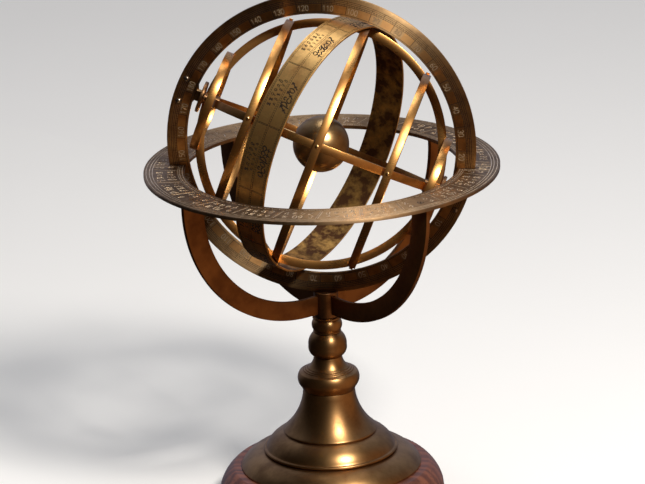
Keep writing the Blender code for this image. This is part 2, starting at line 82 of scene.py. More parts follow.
STRIP = 1.6  # thickness of a bent strip of the cage and of the zodiac band
HORIZON = measure("horizon_ring", AT_CENTRE, 35.5)
NOTCH, NOTCH_HALF = 134.4, 1.9  # how far out the meridian's notches go, and half their width
MERIDIAN = measure("meridian_ring", AT_CENTRE @ FACE_ON, 17.7)
EQUINOCTIAL = measure("equinoctial_colure", IN_CAGE @ FACE_ON, 7.6)
SOLSTITIAL = measure("solstitial_colure", IN_CAGE @ SIDE_ON, STRIP)
EQUATOR = measure("equator_ring", IN_CAGE, STRIP)
TROPIC = measure("north_tropic_ring", IN_CAGE, STRIP)
ZODIAC = measure("zodiac_band", IN_ZODIAC, STRIP)
PIN = measure("north_pivot_pin", IN_CAGE)
BOSS = measure("north_pole_boss", IN_CAGE)  # its outer radius is the disc's
BOSS_RADIUS, BOSS_BORE, BORE_FROM, DISC_FROM = 5.5, 1.6, 110.1, 109.7
AXLE = measure("earth_axle", IN_CAGE)
BALL_RADIUS, BALL_BORE = measure("earth_ball", IN_CAGE)["outer"], 1.6
ARM = {"thick": 4.0, "inner": 107.2, "inner_z": -30.1, "outer": 128.0, "outer_z": -26.0, "tenon": 5.0,
       "out": 21.0, "top": -23.3}
ARM_AZIMUTHS = (("arm_back_right", 50), ("arm_back_left", 135), ("arm_front_left", 225),
                ("arm_front_right", 315))
SCREW_CIRCLE, SCREW_HEAD, SCREW_SHANK, SCREW_LENGTH = 138.5, 2.7, 1.1, 12.0
BRACKET_RIVET_ANGLE, BRACKET_RIVET_RADIUS = 4.75, 129.5
GAP = 0.3  # clearance between neighbouring pieces
SOFT = 0.3  # size of a ring's softened edge
ZODIAC_RIVET_Y = 5.0
TROPIC_RIVET_END = 81.6

FINE = 240  # segments round a large ring
ROUND = 96  # segments round the column
ARM_STEPS = 60
ZODIAC_STEPS = 360
BALL_ROWS = 48
SMALL = 32  # segments round a screw or a rivet of the meridian
TINY = 24  # segments round a pin, the axle or a rivet of the cage

# material slots of a carved ring; the meridian has CELL fields between its BRIGHT figures, which carry a
# painted glint
PLAIN, ENGRAVED, CELL, BRIGHT = 0, 1, 2, 3
INSIDE = 2  # the zodiac's inner face

# ---- materials ----


def node(tree, kind, inputs=None, **settings):
    """Adds a shader node; an input is a value or another node's output."""
    made = tree.nodes.new("ShaderNode" + kind)
    for key, value in settings.items():
        setattr(made, key, value)
    for key, value in (inputs or {}).items():
        if isinstance(value, bpy.types.NodeSocket):
            tree.links.new(value, made.inputs[key])
        else:
            made.inputs[key].default_value = value
    return made


def noise(tree, coords, scale, detail=4.0, roughness=0.6, stretch=None):
    """Noise over the object's own coordinates, in features per metre."""
    if stretch:
        coords = node(tree, "Mapping", {"Vector": coords, "Scale": stretch}).outputs["Vector"]
    return node(tree, "TexNoise", {"Vector": coords, "Scale": scale, "Detail": detail,
                                   "Roughness": roughness}).outputs["Fac"]


def spread(tree, value, low, high, to_low=0.0, to_high=1.0):
    """Maps a range of values to another, clamped."""
    return node(tree, "MapRange", {"Value": value, "From Min": low, "From Max": high,
                                   "To Min": to_low, "To Max": to_high}).outputs["Result"]


def blend(tree, factor, first, second):
    """Mixes two colours."""
    made = node(tree, "Mix", data_type="RGBA")
    tree.links.new(factor, made.inputs[0])
    for socket, value in ((made.inputs[6], first), (made.inputs[7], second)):
        if isinstance(value, bpy.types.NodeSocket):
            tree.links.new(value, socket)
        else:
            socket.default_value = (*value, 1.0)
    return made.outputs[2]


def maths(tree, operation, first, second):
    return node(tree, "Math", {0: first, 1: second}, operation=operation).outputs["Value"]


def begin(name, metallic):
    """A material's tree, shader and object coordinates."""
    mat = bpy.data.materials.new(name)
    mat.use_nodes = True
    tree = mat.node_tree
    shader = tree.nodes["Principled BSDF"]
    shader.inputs["Metallic"].default_value = metallic
    return mat, tree, shader, node(tree, "TexCoord").outputs["Object"]


def roughen(tree, shader, height, strength, distance):
    """Bumps a material by a height."""
    bump = node(tree, "Bump", {"Height": height, "Strength": strength, "Distance": distance})
    tree.links.new(bump.outputs["Normal"], shader.inputs["Normal"])


def brass(name, bright, dull, rough, tarnish, cloud=38.0, relief=0.00004, lathe=0.0, brushed=None,
          brushing=0.8):
    """Brass with clouds of tarnish, painted shade darkening its corners and the places between parts (partly
    patina in crevices), and fine scratches.

    lathe adds turning marks up a column; brushed is the axis that a ring or column was brushed round."""
    mat, tree, shader, coords = begin(name, 1.0)
    if brushed:
        arm = node(tree, "VectorMath", {0: node(tree, "NewGeometry").outputs["Position"], 1: CENTRE},
                   operation="SUBTRACT").outputs["Vector"]
        round_axis = node(tree, "VectorMath", {0: brushed, 1: arm}, operation="CROSS_PRODUCT")
        along = node(tree, "VectorMath", {0: round_axis.outputs["Vector"]}, operation="NORMALIZE")
        tree.links.new(along.outputs["Vector"], shader.inputs["Tangent"])
        shader.inputs["Anisotropic"].default_value = brushing
        shader.inputs["Anisotropic Rotation"].default_value = 0.25
    clouds = noise(tree, coords, cloud, 7.0, 0.62)
    spots = noise(tree, coords, cloud * 9.0, 3.0, 0.7)
    # painted shade: ambient occlusion darkens corners and the places between parts, partly standing for
    # patina in crevices
    open_sky = node(tree, "AmbientOcclusion", {"Distance": 0.005}, samples=4).outputs["AO"]
    corners = spread(tree, open_sky, 0.35, 0.85, 0.75, 0.0)
    tarnish_and_corner_shade = maths(tree, "MAXIMUM", spread(tree, clouds, *tarnish), corners)
    mottled = maths(tree, "MAXIMUM", tarnish_and_corner_shade, spread(tree, spots, 0.60, 0.78, 0.0, 0.55))
    tree.links.new(blend(tree, mottled, bright, dull), shader.inputs["Base Color"])
    scratches = noise(tree, coords, 260.0, 5.0, 0.75, (1.0, 1.0, 9.0))
    uneven = maths(tree, "MAXIMUM", maths(tree, "MULTIPLY", tarnish_and_corner_shade, 0.8),
                   spread(tree, scratches, 0.45, 0.75, 0.0, 0.7))
    tree.links.new(spread(tree, uneven, 0.0, 1.0, *rough), shader.inputs["Roughness"])
    height = scratches
    if lathe:
        turning = noise(tree, coords, 1.0, 2.0, 0.5, (3.0, 3.0, lathe))
        height = maths(tree, "ADD", scratches, turning)
    roughen(tree, shader, height, 0.35, relief)
    return mat


def engraving(name, colour, metallic, rough, change=4.0):
    """What shows in the engraved lines: dark oxide from a dark colour; from a light colour, a painted glint
    of light catching the lines.
    """
    mat, tree, shader, coords = begin(name, metallic)
    worn = spread(tree, noise(tree, coords, 300.0, 4.0), 0.45, 0.75)
    worn_colour = tuple(change * c for c in colour)
    tree.links.new(blend(tree, worn, colour, worn_colour), shader.inputs["Base Color"])
    shader.inputs["Roughness"].default_value = rough
    roughen(tree, shader, noise(tree, coords, 900.0), 0.4, 0.00004)
    return mat


def wood(name):
    """Polished red-brown wood, its grain running along X."""
    mat, tree, shader, coords = begin(name, 0.0)
    broad = noise(tree, coords, 16.0, 5.0, 0.55, (0.25, 1.6, 1.6))
    warped = node(tree, "VectorMath", {0: coords, 1: (0.0, 0.0, 0.0)}, operation="ADD")
    bends = {"Y": maths(tree, "MULTIPLY", broad, 0.05), "Z": maths(tree, "MULTIPLY", broad, 0.04)}
    shift = node(tree, "CombineXYZ", bends)
    tree.links.new(shift.outputs["Vector"], warped.inputs[1])
    rings = node(tree, "TexWave", {"Vector": warped.outputs["Vector"], "Scale": 26.0, "Distortion": 3.5,
                                   "Detail": 4.0, "Detail Scale": 1.6}, wave_type="BANDS",
                 bands_direction="Y").outputs["Fac"]
    pores = noise(tree, coords, 420.0, 3.0, 0.6, (0.05, 1.0, 1.0))
    grain = blend(tree, spread(tree, rings, 0.15, 0.9), (0.085, 0.024, 0.010), (0.190, 0.060, 0.026))
    shade = blend(tree, spread(tree, pores, 0.52, 0.72, 0.0, 0.85), grain, (0.028, 0.008, 0.005))
    patches = spread(tree, broad, 0.35, 0.7, 0.0, 0.6)
    tree.links.new(blend(tree, patches, shade, (0.120, 0.036, 0.015)), shader.inputs["Base Color"])
    shader.inputs["Roughness"].default_value = 0.42
    shader.inputs["Coat Weight"].default_value = 0.35
    shader.inputs["Coat Roughness"].default_value = 0.22
    roughen(tree, shader, pores, 0.25, 0.00005)
    return mat


def felt(name):
    mat, tree, shader, coords = begin(name, 0.0)
    fibres = noise(tree, coords, 1400.0, 6.0, 0.8)
    green = blend(tree, fibres, (0.012, 0.05, 0.026), (0.04, 0.14, 0.07))
    tree.links.new(green, shader.inputs["Base Color"])
    shader.inputs["Roughness"].default_value = 0.95
    shader.inputs["Sheen Weight"].default_value = 0.4
    roughen(tree, shader, fibres, 0.9, 0.0004)
    return mat


def steel(name):
    mat, tree, shader, coords = begin(name, 1.0)
    marks = noise(tree, coords, 500.0, 5.0, 0.7)
    tree.links.new(blend(tree, marks, (0.30, 0.29, 0.28), (0.55, 0.54, 0.52)), shader.inputs["Base Color"])
    tree.links.new(spread(tree, marks, 0.3, 0.8, 0.25, 0.5), shader.inputs["Roughness"])
    roughen(tree, shader, marks, 0.3, 0.00004)
    return mat


ROUND_Z, ROUND_Y = (0.0, 0.0, 1.0), (0.0, 1.0, 0.0)
# bright and dull colour, range of roughness, range of noise that turns bright to dull, clouds per metre
COLUMN = brass("column_satin", (0.50, 0.285, 0.115), (0.21, 0.105, 0.04), (0.30, 0.44), (0.40, 0.74),
               lathe=900.0, brushed=ROUND_Z, brushing=0.45)
STRIPS = brass("strip_gold", (0.74, 0.38, 0.115), (0.36, 0.15, 0.048), (0.27, 0.42), (0.44, 0.72), 46.0,
               relief=0.000012)
BANDS = brass("band_gold", (0.86, 0.52, 0.18), (0.42, 0.22, 0.075), (0.38, 0.54), (0.46, 0.70), 60.0)
# painted shade: the zodiac band's inner face gets this darker copy of the band's brass
INNER_FACE_SHADE = brass("band_inner_painted_shade", (0.62, 0.36, 0.10), (0.10, 0.045, 0.02), (0.40, 0.60), (0.30, 0.56), 90.0)
PLATE = brass("horizon_patina", (0.50, 0.325, 0.17), (0.28, 0.18, 0.10), (0.44, 0.60), (0.36, 0.66), 50.0,
              brushed=ROUND_Z)
SCALE = brass("meridian_patina", (0.48, 0.31, 0.15), (0.25, 0.15, 0.075), (0.44, 0.58), (0.36, 0.66), 55.0,
              brushed=ROUND_Y, brushing=0.9)
CELLS = brass("meridian_cells", (0.52, 0.29, 0.115), (0.31, 0.15, 0.06), (0.42, 0.54), (0.42, 0.72), 90.0,
              brushed=ROUND_Y, brushing=0.9)
ARMS = brass("arm_brown", (0.38, 0.18, 0.065), (0.19, 0.08, 0.032), (0.40, 0.55), (0.40, 0.72), 34.0)
HUB = brass("hub_brown", (0.40, 0.22, 0.10), (0.16, 0.08, 0.04), (0.34, 0.50), (0.42, 0.72), 90.0)
BALL = brass("ball_satin", (0.50, 0.32, 0.14), (0.27, 0.155, 0.065), (0.28, 0.40), (0.42, 0.76), 70.0)
FITTINGS = brass("fitting_brass", (0.66, 0.42, 0.18), (0.24, 0.14, 0.06), (0.26, 0.44), (0.46, 0.74), 160.0)
RIVETS = brass("rivet_dark", (0.34, 0.29, 0.23), (0.12, 0.10, 0.085), (0.22, 0.40), (0.42, 0.72), 220.0)
INK = engraving("engraving_dark", (0.020, 0.012, 0.008), 0.6, 0.55, 3.0)
# painted glint: the horizon's engraved lines are coloured light, standing for light catching them
GLINT = engraving("engraving_painted_glint", (0.80, 0.68, 0.53), 0.75, 0.42, 0.55)
# painted glint, toned down: the meridian's figures are coloured light, standing for light catching them
GLINT_FIGURES = engraving("figures_painted_glint", (0.66, 0.53, 0.37), 0.85, 0.42, 0.55)
WOOD = wood("plinth_wood")
FELT = felt("green_felt")
STEEL = steel("turned_steel")

# ---- mesh tools ----


SHARP_TURN = 0.45  # an outline's corner is rounded where it turns by more, in radians
SHARP_EDGE = 35  # degrees between faces that are not shaded as one


def rounded(outline, size, closed=True, parts=2):
    """The outline with each sharp corner replaced by a short curve."""
    result = []
    last = len(outline) - 1
    for i, corner in enumerate(outline):
        corner = Vector(corner)
        if not closed and i in (0, last):
            result.append(tuple(corner))
            continue
        before = corner - Vector(outline[i - 1])
        after = Vector(outline[(i + 1) % len(outline)]) - corner
        if before.angle(after) < SHARP_TURN:
            result.append(tuple(corner))
            continue
        reach = min(size, 0.4 * before.length, 0.4 * after.length)
        start = corner - before.normalized() * reach
        end = corner + after.normalized() * reach
        for k in range(parts + 1):
            t = k / parts
            result.append(tuple(start * (1 - t) ** 2 + corner * 2 * t * (1 - t) + end * t * t))
    return result


def arc(a, b, bulge, count):
    """Points from a to b along a circular arc; bulge is sagitta over chord."""
    (ar, az), (br, bz) = a, b
    chord = math.hypot(br - ar, bz - az)
    sag = bulge * chord
    radius = (chord * chord / 4 + sag * sag) / (2 * sag)
    cr = (ar + br) / 2 - (bz - az) / chord * (sag - radius)
    cz = (az + bz) / 2 + (br - ar) / chord * (sag - radius)
    start = math.atan2(az - cz, ar - cr)
    sweep = math.atan2(bz - cz, br - cr) - start
    sweep = (sweep + math.pi) % (2 * math.pi) - math.pi
    size = abs(radius)
    angles = [start + sweep * i / count for i in range(count + 1)]
    return [(cr + size * math.cos(angle), cz + size * math.sin(angle)) for angle in angles]


def revolve(shape, outline, steps, closed=True, material=PLAIN):
    """Adds the surface that an outline of (radius, height) sweeps about Z, its outer side running down."""
    loops = []
    for radius, height in outline:
        if radius < 1e-6:
            loops.append([shape.verts.new((0, 0, height))] * steps)
        else:
            turns = [2 * math.pi * k / steps for k in range(steps)]
            loops.append([shape.verts.new((radius * math.cos(a), radius * math.sin(a), height))
                          for a in turns])
    pairs = list(zip(loops, loops[1:])) + ([(loops[-1], loops[0])] if closed else [])
    for upper, lower in pairs:
        for k in range(steps):
            nxt = (k + 1) % steps
            corners = list(dict.fromkeys((upper[k], lower[k], lower[nxt], upper[nxt])))
            if len(corners) > 2:
                shape.faces.new(corners).material_index = material


def sweep(shape, section, stations):
    """Adds a bar: the section (a, b) at each station, a point with the vectors of a and of b."""
    loops = [[shape.verts.new(point + side * a + across * b) for a, b in section]
             for point, side, across in stations]
    for first, second in zip(loops, loops[1:]):
        for k in range(len(section)):
            nxt = (k + 1) % len(section)
            shape.faces.new((first[k], first[nxt], second[nxt], second[k]))
    shape.faces.new(loops[0])
    shape.faces.new(loops[-1])


def settle(name, shape, materials, body, matrix, nodes):
    """Makes the finished piece: millimetres to metres, into the frame, onto its body."""
    bmesh.ops.recalc_face_normals(shape, faces=shape.faces)
    mesh = bpy.data.meshes.new(name)
    shape.to_mesh(mesh)
    shape.free()
    mesh.transform(Matrix.Scale(MM, 4))
    mesh.transform(matrix)
    mesh.shade_smooth()
    mesh.set_sharp_from_angle(angle=math.radians(SHARP_EDGE))
    for material in materials:
        mesh.materials.append(material)
    piece = add(name, mesh)
    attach(piece, body)
    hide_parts(*nodes)


def turned(name, outline, material, body, steps=ROUND, matrix=Matrix(), nodes=(), closed=True):
    """A piece of revolution about local Z, of one material."""
    shape = bmesh.new()
    revolve(shape, outline, steps, closed)
    settle(name, shape, [material], body, matrix, nodes)


def strip_ring(name, node_name, matrix=IN_CAGE, steps=FINE):
    """A bent strip of the cage in a CAD ring's place, with softened edges."""
    ring = measure(node_name, matrix, STRIP)
    outline = [(ring["outer"], ring["high"]), (ring["outer"], ring["low"]), (ring["inner"], ring["low"]),
               (ring["inner"], ring["high"])]
    turned(name, rounded(outline, SOFT), STRIPS, "cage", steps, matrix, (node_name,))


def add(name, data):
    """Puts a new object in the scene."""
    made = bpy.data.objects.new(name, data)
    bpy.context.scene.collection.objects.link(made)
    return made


def upright(point, direction):
    """Matrix that puts local Z along a direction from a point in millimetres."""
    turn = Vector(direction).to_track_quat("Z", "Y").to_matrix().to_4x4()
    return Matrix.Translation(Vector(point) * MM) @ turn


# ---- engraving ----

DIGITS = {
    "0": [[(0, 1), (0, 3), (0.6, 4), (1.4, 4), (2, 3), (2, 1), (1.4, 0), (0.6, 0), (0, 1)]],
    "1": [[(0.4, 3.2), (1.2, 4), (1.2, 0)]],
    "2": [[(0, 3.2), (0.5, 4), (1.5, 4), (2, 3.2), (1.9, 2.5), (0, 0), (2, 0)]],
    "3": [[(0, 3.5), (0.6, 4), (1.5, 4), (2, 3.3), (1.8, 2.5), (1, 2.1), (1.9, 1.7), (2, 0.8), (1.4, 0),
           (0.5, 0), (0, 0.6)]],
    "4": [[(1.5, 0), (1.5, 4), (0, 1.3), (2, 1.3)]],
    "5": [[(1.9, 4), (0.3, 4), (0.1, 2.3), (1.2, 2.6), (2, 1.8), (1.9, 0.6), (1.2, 0), (0, 0.3)]],
    "6": [[(1.8, 3.8), (0.8, 3.3), (0.1, 2), (0.1, 0.9), (0.7, 0), (1.5, 0), (2, 0.8), (1.8, 1.8), (1, 2.2),
           (0.1, 1.4)]],
    "7": [[(0, 4), (2, 4), (0.8, 0)]],
    "8": [[(1, 2.1), (0.2, 2.8), (0.4, 3.7), (1, 4), (1.6, 3.7), (1.8, 2.8), (1, 2.1), (0.1, 1.3),
           (0.3, 0.3), (1, 0), (1.7, 0.3), (1.9, 1.3), (1, 2.1)]],
    "9": [[(0.2, 0.2), (1.2, 0.7), (1.9, 2), (1.9, 3.1), (1.3, 4), (0.5, 4), (0, 3.2), (0.2, 2.2), (1, 1.8),
           (1.9, 2.6)]],
}


def bow(cx, cy, radius, start, end, count=6):
    """Part of a circle between two angles in degrees."""
    angles = [math.radians(start + (end - start) * i / count) for i in range(count + 1)]
    return [(cx + radius * math.cos(a), cy + radius * math.sin(a)) for a in angles]


# plain invented marks in a 2 by 4 box, from lines and parts of circles
MARKS = [
    [bow(1, 2, 0.9, 0, 360, 8), [(1, 2.9), (1, 4)]],
    [bow(1, 3, 0.9, 200, 520, 7), [(1, 2.1), (1, 0)], [(0.2, 1), (1.8, 1)]],
    [bow(0.3, 2, 1.5, -60, 60), bow(1.5, 2, 1.4, 130, 230)],
    [[(0, 0.4), (1, 1.4), (2, 0.4)], [(0, 2), (1, 3), (2, 2)]],
    [bow(0.5, 2.9, 0.6, 0, 360, 7), bow(1.5, 1.1, 0.6, 0, 360, 7), [(0.2, 0.4), (1.8, 3.6)]],
    [[(0, 1), (0.5, 1.8), (1, 1), (1.5, 1.8), (2, 1)],
     [(0, 2.4), (0.5, 3.2), (1, 2.4), (1.5, 3.2), (2, 2.4)]],
    [[(0.3, 0), (0.3, 3.8)], bow(0.3, 2.2, 1.5, -70, 70), [(0.3, 3.8), (1.6, 3.9)]],
    [[(0, 3.8), (2, 3.8)], bow(1, 2.6, 0.9, 180, 360), [(1, 1.7), (1, 0)]],
    [[(0.2, 0.2), (1.9, 3.6)], [(1.9, 3.6), (1.0, 3.5)], [(1.9, 3.6), (1.9, 2.6)],
     [(0.3, 1.9), (1.3, 1.0)]],
    [bow(1, 1.1, 1.0, 30, 330, 7), bow(1, 3.1, 0.6, -30, 210)],
]


def stroke(line, width):
    """Thin quads that follow a line of points."""
    quads = []
    for (ax, ay), (bx, by) in zip(line, line[1:]):
        length = math.hypot(bx - ax, by - ay)
        ox, oy = -(by - ay) / length * width / 2, (bx - ax) / length * width / 2
        ex, ey = (bx - ax) / length * width * 0.3, (by - ay) / length * width * 0.3
        quads.append([(ax - ex + ox, ay - ey + oy), (ax - ex - ox, ay - ey - oy),
                      (bx + ex - ox, by + ey - oy), (bx + ex + ox, by + ey + oy)])
    return quads


def symbol(lines, x, y, size, width, slant=0.0):
    """Quads of a mark whose box has its middle at (x, y); size is its height."""
    unit = size / 4
    quads = []
    for line in lines:
        placed = [(x + (px - 1 + slant * (py - 2)) * unit, y + (py - 2) * unit) for px, py in line]
        quads += stroke(placed, width)
    return quads


def number(value, x, y, size, width):
    """Quads of a number with its middle at (x, y)."""
    text = str(value)
    pitch = size * 0.72
    quads = []
    for i, digit in enumerate(text):
        quads += symbol(DIGITS[digit], x + (i - (len(text) - 1) / 2) * pitch, y, size, width)
    return quads


def on_ring(quads, radius):
    """Bends quads drawn along a straight scale (arc length, radius) onto a ring."""
    return [[(y * math.sin(x / radius), y * math.cos(x / radius)) for x, y in quad] for quad in quads]


def carve(loops, lines, quads, region, depth):
    """Flat drawing as a mesh, with what is engraved sunk below z = 0.

    region(x, y, drawn) gives a face's material from its middle, or None where there is no face."""
    points, edges, faces = [], [], []
    for chain, closed in [(loop, True) for loop in loops] + [(line, False) for line in lines]:
        first = len(points)
        points += chain
        edges += [(first + i, first + i + 1) for i in range(len(chain) - 1)]
        if closed:
            edges.append((first + len(chain) - 1, first))
    for quad in quads:
        faces.append(list(range(len(points), len(points) + len(quad))))
        points += quad
    spots, _, triangles, _, _, sources = delaunay_2d_cdt([Vector(p) for p in points], edges, faces, 0, 1e-4,
                                                         True)
    shape = bmesh.new()
    corners = [shape.verts.new((p[0], p[1], 0.0)) for p in spots]
    sunk = []
    for triangle, source in zip(triangles, sources):
        middle = sum((spots[i] for i in triangle), Vector((0.0, 0.0))) / 3
        material = region(middle.x, middle.y, bool(source))
        if material is None:
            continue
        face = shape.faces.new([corners[i] for i in triangle])
        face.material_index = material
        if material in (ENGRAVED, BRIGHT):
            sunk.append(face)
    loose = [v for v in shape.verts if not v.link_faces]
    bmesh.ops.delete(shape, geom=loose, context="VERTS")
    made = bmesh.ops.extrude_face_region(shape, geom=sunk)
    for vert in made["geom"]:
        if isinstance(vert, bmesh.types.BMVert):
            vert.co.z -= depth
    bmesh.ops.delete(shape, geom=[f for f in sunk if f.is_valid], context="FACES")
    return shape


def circle(radius, count=FINE):
    """Points round a circle about the origin."""
    return [(radius * math.cos(2 * math.pi * k / count), radius * math.sin(2 * math.pi * k / count))
            for k in range(count)]


def soft_edge(radius, top, low, inwards):
    """Outline of a ring's edge at a radius; inwards is the side of the ring's metal."""
    small = 0.3 * SOFT
    return [(radius + inwards * SOFT, top), (radius + inwards * small, top - small), (radius, top - SOFT),
            (radius, low + SOFT), (radius + inwards * small, low + small), (radius + inwards * SOFT, low)]


def in_groove(value, grooves):
    """Whether a radius or height is in one of the grooves."""
    return any(low < value < high for low, high in grooves)


# ---- stand ----


# outlines of the turned pieces, (radius, height over the floor) down the outside and up the bore
STAND_BORE = 2.8
PLINTH_OUTLINE = ([(86.2, 37.7)] + arc((87.2, 37.2), (98.8, 19.9), 0.076, 12)
                  + [(99.8, 13.0), (99.8, 6.0), (98.4, 1.5), (12.0, 1.5), (12.0, 12.0), (STAND_BORE, 12.0),
                     (STAND_BORE, 37.7)])
BELL_OUTLINE = ([(22.9, 108.8)] + arc((23.4, 104.0), (41.6, 71.6), -0.087, 20)
                + [(41.6, 70.9), (40.3, 70.3)] + arc((40.6, 69.8), (57.0, 55.8), 0.117, 12)
                + [(58.3, 55.9), (59.3, 55.2), (59.5, 54.2), (58.7, 53.2), (57.0, 52.9)]
                + arc((56.8, 52.4), (79.2, 39.8), 0.124, 14)
                + [(79.8, 39.0), (79.6, 38.0), (74.0, 38.0), (60.0, 46.0), (51.0, 50.0), (37.0, 64.0),
                   (24.0, 86.0), (15.0, 98.0), (STAND_BORE, 98.0), (STAND_BORE, 108.8)])
COLLAR_OUTLINE = (arc((12.4, 139.4), (16.9, 129.7), -0.08, 8)
                  + [(18.1, 128.9), (18.3, 128.1), (18.7, 128.5), (20.1, 127.9), (20.3, 127.1),
                     (20.7, 127.5), (21.9, 126.9), (22.1, 126.1), (22.6, 126.5), (23.7, 125.9)]
                  + arc((25.6, 125.0), (24.8, 112.5), 0.17, 14)
                  + [(22.9, 109.1), (STAND_BORE, 109.1), (STAND_BORE, 139.4)])
BALUSTER_OUTLINE = (arc((11.9, 161.6), (17.0, 150.3), 0.12, 10) + arc((17.0, 149.2), (12.4, 139.7), 0.16, 10)
                    + [(STAND_BORE, 139.7), (STAND_BORE, 161.6)])
BEAD_OUTLINE = ([(11.6, 176.2), (12.5, 175.8), (12.6, 175.0), (11.3, 174.4)]
                + arc((11.2, 174.1), (11.6, 163.6), 0.20, 16)
                + [(11.6, 163.3), (12.4, 162.9), (12.4, 162.3), (11.8, 161.9), (STAND_BORE, 161.9),
                   (STAND_BORE, 176.2)])


def make_stand():
    turned("plinth_body", rounded(PLINTH_OUTLINE, 1.4, parts=4), WOOD, "base", ROUND * 2,
           nodes=("wood_plinth",))
    turned("bell_body", rounded(BELL_OUTLINE, 0.5), COLUMN, "base", ROUND * 2,
           nodes=("base_bell",))
    for name, outline in (("collar", rounded(COLLAR_OUTLINE, 0.15)), ("baluster", BALUSTER_OUTLINE),
                          ("bead", BEAD_OUTLINE)):
        turned(name + "_body", outline, COLUMN, "base", nodes=("stem_" + name,))


def arm_point(radius, centre_z, part):
    """Point of an arm's edge, part of the way from the hub up to the horizon ring."""
    end = math.asin((ARM["top"] - centre_z) / radius)
    angle = -math.pi / 2 + (end + math.pi / 2) * part
    return Vector((ARM["out"] + radius * math.cos(angle), 0, centre_z + radius * math.sin(angle)))


def make_arms():
    half, side = 9.0, ARM["thick"] / 2  # the section has a middling width and is stretched
    section = rounded([(-half, -side), (half, -side), (half, side), (-half, side)], 0.5)
    across = Vector((0, 1, 0))
    edges = [(arm_point(ARM["inner"], ARM["inner_z"], i / ARM_STEPS),
              arm_point(ARM["outer"], ARM["outer_z"], i / ARM_STEPS)) for i in range(ARM_STEPS + 1)]
    edges.insert(0, [Vector((ARM["tenon"], 0, edge.z)) for edge in edges[0]])
    stations = [((low + high) / 2, (high - low) / (2 * half), across) for low, high in edges]
    for name, azimuth in ARM_AZIMUTHS:
        shape = bmesh.new()
        sweep(shape, section, stations)
        settle(name + "_plate", shape, [ARMS], "base",
               AT_CENTRE @ Matrix.Rotation(math.radians(azimuth), 4, "Z"), (name,))


def head_face(x, y, drawn):
    """Region of a screw's head for carve."""
    if math.hypot(x, y) > SCREW_HEAD:
        return None
    return ENGRAVED if drawn else PLAIN


def make_screws():
    slot, slot_width, slot_depth, cone = [(-1.9, 0.0), (1.9, 0.0)], 0.7, 0.6, 1.9
    for index, (_, azimuth) in enumerate(ARM_AZIMUTHS, 1):
        shape = carve([circle(SCREW_HEAD, SMALL)], [], stroke(slot, slot_width), head_face, slot_depth)
        revolve(shape, [(SCREW_HEAD, 0.0), (SCREW_SHANK, -cone), (SCREW_SHANK, -SCREW_LENGTH),
                        (0.0, -SCREW_LENGTH)], SMALL, closed=False)
        bmesh.ops.remove_doubles(shape, verts=shape.verts, dist=WELD)
        matrix = (AT_CENTRE @ Matrix.Rotation(math.radians(azimuth), 4, "Z")
                  @ Matrix.Translation((SCREW_CIRCLE * MM, 0, HORIZON["high"] * MM))
                  @ Matrix.Rotation(math.radians(37 * index), 4, "Z"))
        settle("screw_head_%d" % index, shape, [FITTINGS, INK], "base", matrix,
               ("horizon_screw_%d" % index,))


# ---- horizon ring ----


HORIZON_GROOVES = [(121.0, 121.5), (123.5, 124.0), (124.9, 125.4), (147.0, 147.6), (149.4, 150.0),
                   (152.4, 153.0)]
HORIZON_DEPTH = 0.25
DEGREES_AT, DEGREES_FROM, DEGREES_TO = 122.5, 121.3, 123.7
FIELD_AT, FIELD_FROM, FIELD_TO = 135, 126.2, 145.4  # the band of marks between the scales
OUTER_ROW, INNER_ROW = 141.0, 131.5
SECTORS, SECTOR_DEGREES, SECTOR_START = 24, 15, 7.5
FIRST_PLACE, PLACE_STEP, NUMBER_PLACE = 8.0, 6.9, 18.5  # along a sector of the band
NUMBER_SIZE, OUTER_SIZE, INNER_SIZE = 6.4, 7.0, 7.6
NOTCH_LINES = (3.4, 5.0, 8.4)  # engraved lines beside each notch
NOTCH_LINE_FROM, NOTCH_LINE_TO = 125.2, 147.2
CUT_FROM = 100.0  # a notch is cut from well inside the bore
CLOSE = 0.02  # allowance for a point on an edge


def horizon_marks(screws, clear):
    """Quads of the horizon's scale and marks, none of them within clear of a screw."""
    rng = random.Random(4)
    quads = []

    def engrave(marks, radius):
        placed = on_ring(marks, radius)
        if all(math.dist(point, screw) > clear for quad in placed for point in quad for screw in screws):
            quads.extend(placed)

    for degree in range(360):
        x = math.radians(degree) * DEGREES_AT
        if degree % 90:
            engrave(stroke([(x, DEGREES_FROM), (x, DEGREES_TO)], 0.34), DEGREES_AT)
    lean, double, mark_width, slant = 2.2, 1.8, 0.8, 0.15
    for sector in range(SECTORS):
        start = math.radians(SECTOR_DEGREES * sector + SECTOR_START) * FIELD_AT
        for x in (start, start + double):
            engrave(stroke([(x - lean, FIELD_FROM), (x + lean, FIELD_TO)], 0.6), FIELD_AT)
        numbered = sector % 2
        if numbered:
            value = 10 * (1 + sector // 2 % 9)
            engrave(number(value, start + NUMBER_PLACE, OUTER_ROW, NUMBER_SIZE, mark_width), FIELD_AT)
        for row, size in ((OUTER_ROW, OUTER_SIZE), (INNER_ROW, INNER_SIZE)):
            for place in range(4):
                if numbered and row == OUTER_ROW and place in (1, 2):
                    continue
                x = start + FIRST_PLACE + place * PLACE_STEP
                engrave(symbol(rng.choice(MARKS), x, row, size, mark_width, slant), FIELD_AT)
    half, middle = 0.3, 140
    corners = ((NOTCH_LINE_FROM, -half), (NOTCH_LINE_FROM, half), (NOTCH_LINE_TO, half),
               (NOTCH_LINE_TO, -half))
    for side in (-1, 1):
        for offset in NOTCH_LINES:
            for sign in (-1, 1):
                angle = math.atan2(sign * offset, side * middle)
                quads.append([(r * math.cos(angle) + w * math.sin(angle),
                               r * math.sin(angle) - w * math.cos(angle)) for r, w in corners])
    return quads


